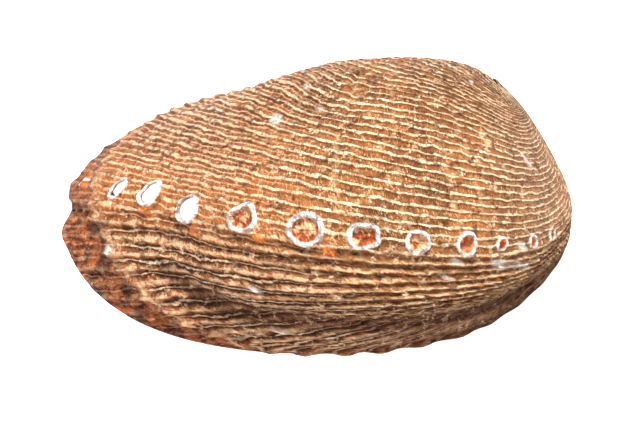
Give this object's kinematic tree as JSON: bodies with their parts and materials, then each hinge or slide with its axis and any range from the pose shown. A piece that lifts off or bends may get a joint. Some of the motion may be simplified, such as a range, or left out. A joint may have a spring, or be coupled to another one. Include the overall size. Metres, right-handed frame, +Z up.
{
  "type": "abalone shell",
  "caption": "Dried abalone shell: a low ear-shaped dome with a tight side spire, a curved row of pores, spiral cords over the back and a smooth hollow underside.",
  "frame": {"origin": "middle of the footprint on the rest plane, which the rim lies on", "axes": "+Z up through the dome, X along the length with the spire end at +X and the open pores at -X, the pore row's side faces -Y"},
  "size_m": [0.09, 0.0686, 0.0301],
  "materials": {
    "shell": "rough, unpolished brown shell outside; smooth pale mother-of-pearl inside"
  },
  "bodies": {
    "root": {"shell": "shell"}
  },
  "joints": []
}
